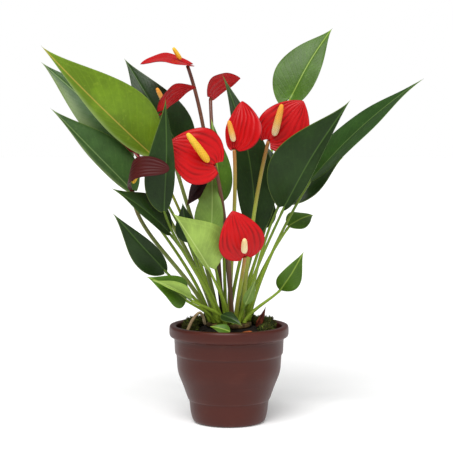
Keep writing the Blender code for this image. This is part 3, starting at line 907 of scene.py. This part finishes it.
def build_spadix(name, start, lean, reach, across, grain_height, look):
    """A blunt club of small flowers, set in two crossing families of spirals."""
    rows, sides, spirals = 120, 64, 9
    reach = reach * MM
    t = np.linspace(0, 1, rows)
    thick = SPADIX_GROWTH * reach + SPADIX_LEAST_R
    bulk = np.interp(t, *zip(*SPADIX_BULK))
    angles = circle_angles(sides)
    climb = t[:, None] * reach / (thick * 0.72)
    first = np.cos(spirals * angles[None, :] + spirals * 0.75 * climb)
    second = np.cos(spirals * angles[None, :] - spirals * 0.75 * climb)
    grain = (0.5 + 0.5 * first) * (0.5 + 0.5 * second)
    radii = thick * bulk[:, None] + grain_height * (grain - 0.3) * np.minimum(1, bulk[:, None] * 1.5)
    path = start + np.outer(t * reach, unit(np.array(lean, dtype=float)))
    rings = tube_rings(path, radii, across, angles)
    marks = {"along": np.broadcast_to(t[:, None], grain.shape), "grain": grain}
    keep(lofted(name + "_spadix_fine", rings, marks, look), name + "_spadix")


def build_flower(row, looks, settings, turn):
    name, bud, base, tip, width, face, *curves, lean, reach = row
    blade = Blade(base, tip, width, face, curves, HOOD_SHAPE if name == "flower_faded" else SPATHE_SHAPE)
    path = stalk_path(bud_place(bud), blade.base, unit(blade.up + blade.along), STEM_STEPS)
    heading = unit(path[-1] - path[-2])
    collar = np.array([blade.base + heading * height for height in (GAP, 0.8 * MM, 1.5 * MM)])
    path[-1] = blade.base - heading * GAP
    build_stem(name, path, blade.across, looks["stem"])
    neck = tube_rings(collar, [NECK_R] * len(collar), blade.across, SPATHE_SECTION.angle)
    ridges = RIDGES if width > BROAD_SPATHE else FEW_RIDGES
    rings, marks = spathe_surface(blade, SPATHE_ROWS, settings.ridge, ridges, turn)
    marks = joined(stalk_marks(len(collar), SPATHE_SECTION, marks), marks)
    spathe = lofted(name + "_spathe_fine", np.concatenate([neck, rings]), marks, looks["spathe"])
    keep(spathe, name + "_spathe")
    low, high = blade.middle(np.array((0.1, 0.22)), 0.0, SPATHE_THICK / 2)
    start = (low + high) / 2 + np.cross(unit(high - low), blade.across) * SPADIX_LIFT
    build_spadix(name, start, lean, reach, blade.across, settings.seed, looks["spadix"])


def rounded_profile(profile, times):
    """Cuts the corners of an open profile, and keeps its two ends."""
    points = np.array(profile)
    for _ in range(times):
        near = points[:-1] * 0.8 + points[1:] * 0.2
        far = points[:-1] * 0.2 + points[1:] * 0.8
        inner = np.stack([near, far], axis=1).reshape(-1, 2)
        points = np.concatenate([points[:1], inner[1:-1], points[-1:]])
    return points


def turned(name, profile, sides, marks, look):
    """A body of revolution from (radius, height) points, from one pole's rim to the other's."""
    angles = circle_angles(sides)
    radius = profile[:, 0][:, None]
    height = np.broadcast_to(profile[:, 1][:, None], (len(profile), sides))
    rings = np.stack([radius * np.cos(angles), radius * np.sin(angles), height], axis=-1)
    return lofted(name, rings, marks, look)


def soil_top(x, y):
    """Height of the soil: flat under the crown, lumpy between it and the wall."""
    reach = np.hypot(x, y)
    share = np.clip((reach - SOIL_FLAT_R) / (48 * MM - SOIL_FLAT_R), 0, 1)
    lumps = np.sin(x * 310 + 1.0) * np.cos(y * 270 - 0.6) + 0.6 * np.sin(x * 190 - y * 350)
    return SOIL_Z + SOIL_MOUND * (1 - share) ** 2 + 1.3 * MM * share * lumps


def roughened(points, scale):
    """Fractal noise at each point of an array (..., 3), about -1 to 1."""
    values = [noise.fractal(Vector(point), 0.9, 2.1, 4) for point in points.reshape(-1, 3) * scale]
    return np.array(values).reshape(points.shape[:-1])


def scattered(points, facing, sizes, rng):
    """Small closed slivers, one at each point: a pointed tetrahedron that leans along its facing."""
    count = len(points)
    wild = rng.normal(size=(count, 3))
    facing = facing / np.linalg.norm(facing, axis=1)[:, None]
    side = np.cross(facing, wild)
    side /= np.linalg.norm(side, axis=1)[:, None]
    other = np.cross(facing, side)
    wide = sizes * 0.24
    corners = [points + (side * math.cos(a) + other * math.sin(a) * 0.55) * wide[:, None]
               for a in (0.0, TAU / 3, 2 * TAU / 3)]
    tips = points + facing * sizes[:, None]
    places = np.stack(corners + [tips], axis=1).reshape(-1, 3)
    first = np.arange(count)[:, None, None] * 4
    faces = first + np.array(((2, 1, 0), (0, 1, 3), (1, 2, 3), (2, 0, 3)))[None]
    return places, faces.reshape(-1, 3)


# ---- Operators ----


def pot_profile():
    """The pot's section, from its floor inside, over the rim and down to its foot."""
    lip = POT_RIM_R - POT_BAND_R + POT_WALL
    centre = POT_RIM_R - lip / 2
    inside = [
        (12 * MM, POT_WALL + MM),
        (POT_FOOT_R - 4 * MM, POT_WALL + MM),
        (POT_FOOT_R - POT_WALL, 9 * MM),
        (41 * MM, 30 * MM),
        (POT_WAIST_R - POT_WALL - 2 * MM, 50 * MM),
        (POT_WAIST_R - POT_WALL, POT_BAND_Z - 2 * MM),
        (POT_BAND_R - POT_WALL, POT_BAND_Z + 2 * MM),
        (POT_RIM_R - lip, POT_H - 2 * MM),
    ]
    rim = []
    for turn in (0.2, 0.35, 0.5, 0.65, 0.8):
        angle = math.pi * (1 - turn)
        rim.append((centre + lip / 2 * math.cos(angle), POT_H - 2 * MM + 2 * MM * math.sin(angle)))
    outside = [
        (POT_RIM_R, POT_H - 3 * MM),
        (POT_RIM_R, POT_RIM_Z + 3 * MM),
        (POT_RIM_R - 1 * MM, POT_RIM_Z + 1 * MM),
        (POT_BAND_R + 1.5 * MM, POT_RIM_Z),
        (POT_BAND_R, POT_RIM_Z - 1.5 * MM),
        (POT_BAND_R - 0.5 * MM, POT_BAND_Z + 1.5 * MM),
        (POT_BAND_R - 1.5 * MM, POT_BAND_Z),
        (POT_WAIST_R, POT_BAND_Z - 1 * MM),
        (POT_WAIST_R - 1 * MM, 51 * MM),
        (46 * MM, 37 * MM),
        (41.5 * MM, 24 * MM),
        (40 * MM, 22.5 * MM),
        (39 * MM, 12 * MM),
        (POT_FOOT_R, 5 * MM),
        (POT_FOOT_R - 1.5 * MM, 1.5 * MM),
        (POT_FOOT_R - 5 * MM, 0.0),
    ]
    return inside + rim + outside


def drill_drains(pot, look):
    """Cuts the drain holes through the floor, and leaves no cutter behind."""
    context = bpy.context
    for i in range(DRAIN_HOLES):
        angle = TAU * (i + 0.5) / DRAIN_HOLES
        wall = np.array(((DRAIN_HOLE_R, -5 * MM), (DRAIN_HOLE_R, 12 * MM)))
        bore = turned("drain_bore", wall, 32, {}, look)
        bore.location = (DRAIN_RING_R * math.cos(angle), DRAIN_RING_R * math.sin(angle), 0)
        cut = pot.modifiers.new("drain", "BOOLEAN")
        cut.operation = "DIFFERENCE"
        cut.object = bore
        context.view_layer.update()
        solid = bpy.data.meshes.new_from_object(pot.evaluated_get(context.evaluated_depsgraph_get()))
        pot.modifiers.clear()
        pot.data = solid
        bpy.data.objects.remove(bore, do_unlink=True)
    pot.data.set_sharp_from_angle(angle=math.radians(50))


class ANTHURIUM_OT_pot(bpy.types.Operator):
    """Turns the nursery pot with its rolled rim, stepped wall and drain holes"""

    bl_idname = "anthurium.pot"
    bl_label = "Pot"

    def execute(self, context):
        smooth = rounded_profile(pot_profile(), 3)[::-1]
        steps = np.diff(smooth, axis=0)
        ahead = steps / np.linalg.norm(steps, axis=1)[:, None]
        bend = np.zeros(len(smooth))
        bend[1:-1] = np.clip(np.cross(ahead[:-1], ahead[1:]) * 3, 0, 1)
        shape = (len(smooth), POT_SIDES)
        marks = {
            "edge": np.broadcast_to(bend[:, None], shape),
            "around": np.broadcast_to(np.abs(np.linspace(-1, 1, POT_SIDES)), shape),
            "height": np.broadcast_to(smooth[:, 1][:, None] / POT_H, shape),
        }
        look = plastic_paint(context.scene.anthurium_pot)
        pot = turned("pot_fine", smooth, POT_SIDES, marks, look)
        drill_drains(pot, look)
        keep(pot, "pot", 1 * MM)
        return {"FINISHED"}


def build_soil(settings):
    walls = (
        (30 * MM, POT_WALL + 1.5 * MM),
        (POT_FOOT_R - POT_WALL - 2.5 * MM, 8 * MM),
        (39.5 * MM, 30 * MM),
        (POT_WAIST_R - POT_WALL - 3.2 * MM, 50 * MM),
        (POT_WAIST_R - POT_WALL - 1.2 * MM, POT_BAND_Z - 4 * MM),
        (POT_WAIST_R - POT_WALL - 0.7 * MM, 86 * MM),
    )
    around = spokes(circle_angles(POT_SIDES))
    rings = [around * radius + (0, 0, height) for radius, height in walls]
    for radius in np.linspace(48 * MM, 1 * MM, 54):
        ring = around * radius
        ring[:, 2] = soil_top(ring[:, 0], ring[:, 1])
        ring[:, 2] += roughened(ring, 240.0) * 0.9 * MM * np.clip((radius - 22 * MM) / (6 * MM), 0, 1)
        rings.append(ring)
    rng = np.random.default_rng(CRUMB_SEED)
    count = settings.crumbs
    reach = np.sqrt(rng.uniform(25.0**2, 46.5**2, count)) * MM
    places = spokes(rng.uniform(0, TAU, count)) * reach[:, None]
    places[:, 2] = soil_top(places[:, 0], places[:, 1]) - 0.2 * MM
    leaning = rng.normal(size=(count, 3)) * (1, 1, 0.35)
    crumbs = scattered(places, leaning, rng.uniform(1.2, 4.2, count) * MM, rng)
    tones = rng.uniform(0, 0.7, count) ** 2
    look = rough_paint("peat_fine", darker(settings.peat, 0.35), settings.peat, 180.0, 0.86, 0.9 * MM)
    keep(littered("soil_fine", np.array(rings), 0.0, crumbs, tones, look), "soil", 4 * MM)


def build_crown():
    low = CROWN_TOP - CROWN_H
    profile = np.array([
        (CROWN_R - 1.5 * MM, low), (CROWN_R - 0.4 * MM, low + 0.7 * MM), (CROWN_R, low + 1.8 * MM),
        (CROWN_R - 0.2 * MM, low + 3.2 * MM), (CROWN_R - 0.8 * MM, low + 4.3 * MM),
        (CROWN_R - 2 * MM, CROWN_TOP - 0.1 * MM), (CROWN_R - 5 * MM, CROWN_TOP),
        (CROWN_R - 9 * MM, CROWN_TOP), (CROWN_R - 15 * MM, CROWN_TOP), (2 * MM, CROWN_TOP),
    ])
    look = rough_paint("rootstock_fine", tint(44, 30, 16), tint(112, 92, 48), 150.0, 0.7, 0.7 * MM)
    crown = turned("crown_fine", profile, CROWN_SIDES, {}, look)
    points = np.array([vertex.co for vertex in crown.data.vertices])
    reach = np.hypot(points[:, 0], points[:, 1])
    dents = np.abs(roughened(points, 300.0)) * 0.8 * MM * np.clip((reach - 20 * MM) / (3 * MM), 0, 1)
    points -= points * (1, 1, 0) * (dents / reach)[:, None]
    crown.data.vertices.foreach_set("co", points.ravel())
    keep(crown, "crown", 1 * MM)


def build_bark():
    """A split chip of bark: flat faces, torn edges and a curved grain."""
    rows, sides = 40, 48
    x, y = BARK_AT
    wide, deep, high = BARK_SIZE
    t = np.linspace(0, 1, rows)
    body = np.sin(math.pi * np.clip(t, 0.015, 0.985)) ** 0.22
    angles = circle_angles(sides)
    shape = (np.abs(np.cos(angles)) ** 5 + np.abs(np.sin(angles)) ** 5) ** -0.2
    rings = np.empty((rows, sides, 3))
    rings[..., 0] = (x * MM + (0.5 - t) * wide)[:, None]
    rings[..., 1] = y * MM + np.outer(body * (1 - 0.3 * (1 - 2 * t)), np.cos(angles) * shape) * deep / 2
    middle = soil_top(x * MM, y * MM) + 3.4 * MM + high / 2 + (1 - 2 * t) * MM
    rings[..., 2] = middle[:, None] + np.outer(body, np.sin(angles) * shape) * high / 2
    grain = roughened(rings * (0.4, 1.6, 1.6), 420.0) * 0.35 * MM
    rings[..., 2] += grain
    rings[..., 1] += grain * 0.8
    look = rough_paint("bark_fine", tint(120, 54, 22), tint(196, 106, 48), 260.0, 0.78, 0.6 * MM)
    keep(lofted("bark_chip_fine", rings, {}, look), "bark_chip", 1.5 * MM)


def build_dry_stalk():
    steps, sides = 60, 30
    angles = circle_angles(sides)
    flutes = 1 + 0.1 * np.cos(5 * angles)[None, :] + 0.06 * np.sin(np.linspace(0, 9, steps))[:, None]
    path = smooth_path(np.array(DEAD_STALK) * MM, steps)
    rings = tube_rings(path, DEAD_STALK_R * 0.92 * flutes, np.array((0.0, 1.0, 0.0)), angles)
    look = rough_paint("dry_stalk_fine", tint(150, 118, 84), tint(214, 194, 154), 60.0, 0.68, 0.5 * MM)
    keep(lofted("dead_stalk_fine", rings, {}, look), "dead_stalk", 1 * MM)


def smooth_path(knots, steps):
    """A curve through the knots, as a Catmull-Rom spline."""
    ends = np.concatenate([[2 * knots[0] - knots[1]], knots, [2 * knots[-1] - knots[-2]]])
    path = []
    for place in np.linspace(0, len(knots) - 1.0001, steps):
        i = int(place)
        t = place - i
        a, b, c, d = ends[i:i + 4]
        path.append(0.5 * (2 * b + (c - a) * t + (2 * a - 5 * b + 4 * c - d) * t**2
                           + (3 * b - a - 3 * c + d) * t**3))
    return np.array(path)


class ANTHURIUM_OT_ground(bpy.types.Operator):
    """Fills the pot with peat and lays the crown, bark, dry stalk and bract on it"""

    bl_idname = "anthurium.ground"
    bl_label = "Soil, crown and litter"

    def execute(self, context):
        build_soil(context.scene.anthurium_ground)
        build_crown()
        build_bark()
        build_dry_stalk()
        look = rough_paint("sheath_fine", tint(58, 16, 10), tint(128, 60, 34), 160.0, 0.6, 0.4 * MM)
        build_loose_leaf("sheath", SHEATH, SHEATH_CURVES, BRACT_ROWS, BRACT_WAVE, 1.0, look)
        return {"FINISHED"}


def moss_mat(share, turn):
    """Points of the mat, for a share of the way round and a turn round its section."""
    angle = MOSS_FROM + (MOSS_TO - MOSS_FROM) * share
    end = np.maximum(0.25, np.sin(math.pi * share) ** 0.35)
    lump = 0.72 + 0.28 * np.sin(9.5 * angle + 0.8) * np.cos(3.2 * angle)
    reach = MOSS_RING_R + np.cos(turn) * MOSS_HALF_WIDTH * end
    rise = np.maximum(0, np.sin(turn) + 0.5) / 1.5 * MOSS_H * lump * end
    x = reach * np.cos(angle)
    y = reach * np.sin(angle)
    points = np.stack([x, y, soil_top(x, y) + 1.5 * MM + rise], axis=-1)
    points[..., 2] += roughened(points, 190.0) * 1.3 * MM * np.clip(np.sin(turn) + 0.5, 0, 1)
    return points


class ANTHURIUM_OT_moss(bpy.types.Operator):
    """Grows the lumpy mat of moss, covered with thousands of leaflets"""

    bl_idname = "anthurium.moss"
    bl_label = "Moss"

    def execute(self, context):
        settings = context.scene.anthurium_ground
        share = np.linspace(0, 1, MOSS_STEPS)[:, None]
        turns = np.concatenate([np.linspace(-90, -180, 9), np.linspace(170, -20, 30), [-45, -70]])
        rings = moss_mat(share, np.radians(turns)[None, :])
        rng = np.random.default_rng(MOSS_SEED)
        count = settings.leaflets
        place = rng.uniform(0.01, 0.99, count)
        turn = np.radians(rng.uniform(-28, 205, count))
        points = moss_mat(place, turn) - (0, 0, 0.4 * MM)
        angle = MOSS_FROM + (MOSS_TO - MOSS_FROM) * place
        facing = spokes(angle) * np.cos(turn)[:, None] * 0.8
        facing[:, 2] = np.maximum(0.35, np.sin(turn))
        facing += rng.normal(size=(count, 3)) * 0.45
        leaflets = scattered(points, facing, rng.uniform(1.4, 3.6, count) * MM, rng)
        tones = np.clip(rng.normal(0.55, 0.2, count), 0, 1)
        keep(littered("moss_fine", rings, 0.12, leaflets, tones, moss_paint(settings)), "moss")
        return {"FINISHED"}


# Which leaves wear each finish: bright and olive are partly painted light, shaded is painted shade, dark
# is partly painted shade and partly the colour of old leaves. Leaves that aren't named here are dark.
LEAVES_OF_LOOK = {
    "olive": ("left_high_front",),
    "shaded": ("left_high_back", "left_middle"),
    "deep": ("right_long",),
    "middle": ("front_middle", "crown_narrow"),
    "bright": ("right_high", "small_left", "right_small", "centre_green", "right_lowest"),
    "young": ("front_bright", "rolled_left"),
}
LEAF_LOOKS = {"leaf_" + leaf: look for look, leaves in LEAVES_OF_LOOK.items() for leaf in leaves}


class ANTHURIUM_OT_leaves(bpy.types.Operator):
    """Grows every leaf with its stalk"""

    bl_idname = "anthurium.leaves"
    bl_label = "Leaves"

    def execute(self, context):
        settings = context.scene.anthurium_leaves
        green = tint(92, 118, 40)
        # Body, fleck, rib and upper stalk colours of each look, then for shaded and olive the share of the
        # painted sheen
        tones = {
            "dark": (settings.dark, tint(48, 76, 28), tint(70, 98, 42), green),
            "deep": (tint(46, 80, 26), tint(70, 100, 48), tint(104, 130, 70), green),
            "shaded": (tint(58, 88, 40), tint(84, 112, 56), tint(112, 136, 80), green, 0.4),
            "olive": (settings.olive, tint(140, 160, 50), tint(176, 150, 66), tint(170, 165, 60), 0.5),
            "middle": (tint(112, 142, 62), tint(134, 162, 84), tint(150, 172, 98), green),
            "bright": (settings.bright, tint(112, 150, 58), settings.margin, settings.stalk),
            "young": (settings.young, tint(160, 188, 92), tint(180, 200, 120), settings.stalk),
        }
        looks = {look: leaf_paint(f"leaf_{look}_fine", settings, *own) for look, own in tones.items()}
        for i, row in enumerate(LEAVES):
            build_leaf(row, looks[LEAF_LOOKS.get(row[0], "dark")], settings.wave, 1.9 * i)
        look = looks["bright"]
        build_loose_leaf("leaf_fallen", FALLEN_LEAF, FALLEN_CURVES, FALLEN_ROWS, FALLEN_WAVE, 0.5, look)
        return {"FINISHED"}


# Stem colours of each flower, at its foot and under the spathe, and its spadix from base to tip
STEM_MAROON = (tint(88, 58, 30), tint(110, 46, 26))
STEM_OLIVE = (tint(140, 152, 50), tint(172, 92, 40))
STEM_BROWN = (tint(112, 128, 48), tint(96, 44, 26))
SPADIX_YELLOW = (tint(246, 184, 44), tint(250, 196, 48), tint(252, 206, 60))
SPADIX_ORANGE = (tint(255, 240, 196), tint(252, 196, 96), tint(250, 160, 40))
SPADIX_CREAM = (tint(255, 240, 196), tint(255, 230, 176), tint(252, 220, 158))
FLOWER_COLOURS = {
    "flower_top": (STEM_MAROON, SPADIX_YELLOW),
    "flower_back": (STEM_MAROON, SPADIX_YELLOW),
    "flower_behind": (STEM_BROWN, SPADIX_ORANGE),
    "flower_main": (STEM_MAROON, SPADIX_YELLOW),
    "flower_upright": (STEM_OLIVE, SPADIX_ORANGE),
    "flower_right": (STEM_OLIVE, SPADIX_ORANGE),
    "flower_low": (STEM_OLIVE, SPADIX_CREAM),
    "flower_faded": (STEM_BROWN, SPADIX_YELLOW),
    "flower_hidden": (STEM_BROWN, SPADIX_ORANGE),
}


class ANTHURIUM_OT_flowers(bpy.types.Operator):
    """Grows every flower: its stem, its spathe and its spadix"""

    bl_idname = "anthurium.flowers"
    bl_label = "Flowers"

    def execute(self, context):
        settings = context.scene.anthurium_flowers
        # The second colour of each spathe's set is the painted shade of its grooves
        open_tones = (settings.red, settings.painted_groove_shade, settings.back, settings.edge)
        faded_tones = (settings.faded, tint(58, 7, 6), tint(66, 8, 6), tint(40, 6, 8))
        young_tones = (tint(44, 20, 20), tint(22, 8, 10), tint(36, 14, 16), tint(80, 12, 16))
        red = spathe_paint("spathe_red_fine", *open_tones, 0.32)
        faded = spathe_paint("spathe_faded_fine", *faded_tones, 0.38)
        stems = {}
        spadices = {}
        for i, row in enumerate(FLOWERS):
            name = row[0]
            stem, spadix = FLOWER_COLOURS[name]
            if stem not in stems:
                stems[stem] = stem_paint(f"flower_stem_fine_{len(stems) + 1}", *stem)
            if spadix not in spadices:
                spadices[spadix] = spadix_paint(f"spadix_fine_{len(spadices) + 1}", *spadix)
            spathe = faded if name == "flower_faded" else red
            looks = {"stem": stems[stem], "spathe": spathe, "spadix": spadices[spadix]}
            build_flower(row, looks, settings, 2.1 * i)
        bud, *row = YOUNG_SPATHE
        blade = Blade(*row, YOUNG_CURVES)
        radii = stalk_radii(STEM_FOOT_R, STALK_TOP_R, YOUNG_STEPS, 0.0)
        surface = spathe_surface(blade, YOUNG_ROWS, YOUNG_RIDGE_H, FEW_RIDGES, 0.7)
        look = spathe_paint("young_spathe_fine", *young_tones, 0.36)
        upwards = np.array((0.0, 0.0, 1.0))
        on_stalk("young_spathe", bud, blade, upwards, radii, SPATHE_SECTION, surface, look)
        return {"FINISHED"}


class ANTHURIUM_OT_stage(bpy.types.Operator):
    """Lays the pale floor and sets up the lights and the camera"""

    bl_idname = "anthurium.stage"
    bl_label = "Floor, lights and camera"

    def execute(self, context):
        settings = context.scene.anthurium_stage
        scene = context.scene
        low, high = CAD_BOX
        glow = {"Emission Color": (1, 1, 1, 1), "Emission Strength": 0.15}
        paint = Paint("floor_matt", {"Specular IOR Level": 0.1, **glow})
        speckle = paint.mix(paint.grain(500.0, 2.0), darker(settings.floor, 0.99), settings.floor)
        disc = turned("floor", np.array(FLOOR_PROFILE), 96, {}, paint.finish(speckle, 0.9))
        disc.data.shade_flat()
        disc.location.z = low[2]
        scene.world = self.studio(settings.sky)
        for name, place, spread, share in (
            ("key_lamp", KEY_FROM, KEY_SPREAD, 1.0),
            ("fill_lamp", FILL_FROM, FILL_SPREAD, FILL_SHARE),
        ):
            data = bpy.data.lights.new(name, "SUN")
            data.energy = settings.key * share
            data.angle = math.radians(spread)
            self.aimed(name, data, place)
        data = bpy.data.cameras.new("camera")
        data.lens = settings.lens
        data.sensor_width = SENSOR_WIDTH
        data.clip_start = NEAR_CLIP
        scene.camera = self.aimed("camera", data, CAMERA_AT)
        scene.view_settings.view_transform = "Standard"
        return {"FINISHED"}

    def aimed(self, name, data, place):
        """A lamp or camera that looks at the middle of the plant."""
        made = bpy.data.objects.new(name, data)
        made.location = place
        made.rotation_euler = (AIM - made.location).to_track_quat("-Z", "Y").to_euler()
        bpy.context.scene.collection.objects.link(made)
        return made

    def studio(self, strength):
        """White surroundings that light the plant with less than the camera sees of them."""
        world = bpy.data.worlds.new("studio")
        world.use_nodes = True
        tree = world.node_tree
        seen = tree.nodes.new("ShaderNodeLightPath").outputs["Is Camera Ray"]
        share = tree.nodes.new("ShaderNodeMath")
        share.operation = "MAXIMUM"
        share.inputs[1].default_value = strength
        tree.links.new(seen, share.inputs[0])
        tree.nodes["Background"].inputs["Color"].default_value = (1, 1, 1, 1)
        tree.links.new(share.outputs[0], tree.nodes["Background"].inputs["Strength"])
        return world


class ANTHURIUM_PT_panel(bpy.types.Panel):
    """Lists the steps that build the plant"""

    bl_idname = "ANTHURIUM_PT_panel"
    bl_label = "Potted Anthurium"
    bl_space_type = "VIEW_3D"
    bl_region_type = "UI"
    bl_category = "Anthurium"

    def draw(self, context):
        for operator in OPERATORS:
            self.layout.operator(operator.bl_idname)


OPERATORS = (
    ANTHURIUM_OT_stage,
    ANTHURIUM_OT_pot,
    ANTHURIUM_OT_ground,
    ANTHURIUM_OT_moss,
    ANTHURIUM_OT_leaves,
    ANTHURIUM_OT_flowers,
)
SETTINGS = {
    "anthurium_stage": StageSettings,
    "anthurium_pot": PotSettings,
    "anthurium_ground": GroundSettings,
    "anthurium_leaves": LeafSettings,
    "anthurium_flowers": FlowerSettings,
}


def register():
    for group in SETTINGS.values():
        bpy.utils.register_class(group)
    for operator in OPERATORS:
        bpy.utils.register_class(operator)
    bpy.utils.register_class(ANTHURIUM_PT_panel)
    for name, group in SETTINGS.items():
        setattr(bpy.types.Scene, name, bpy.props.PointerProperty(type=group))


def unregister():
    for name in SETTINGS:
        delattr(bpy.types.Scene, name)
    bpy.utils.unregister_class(ANTHURIUM_PT_panel)
    for operator in reversed(OPERATORS):
        bpy.utils.unregister_class(operator)
    for group in reversed(SETTINGS.values()):
        bpy.utils.unregister_class(group)


def main():
    register()
    bpy.ops.anthurium.stage()
    bpy.ops.anthurium.pot()
    bpy.ops.anthurium.ground()
    bpy.ops.anthurium.moss()
    bpy.ops.anthurium.leaves()
    bpy.ops.anthurium.flowers()


if __name__ == "__main__":
    main()
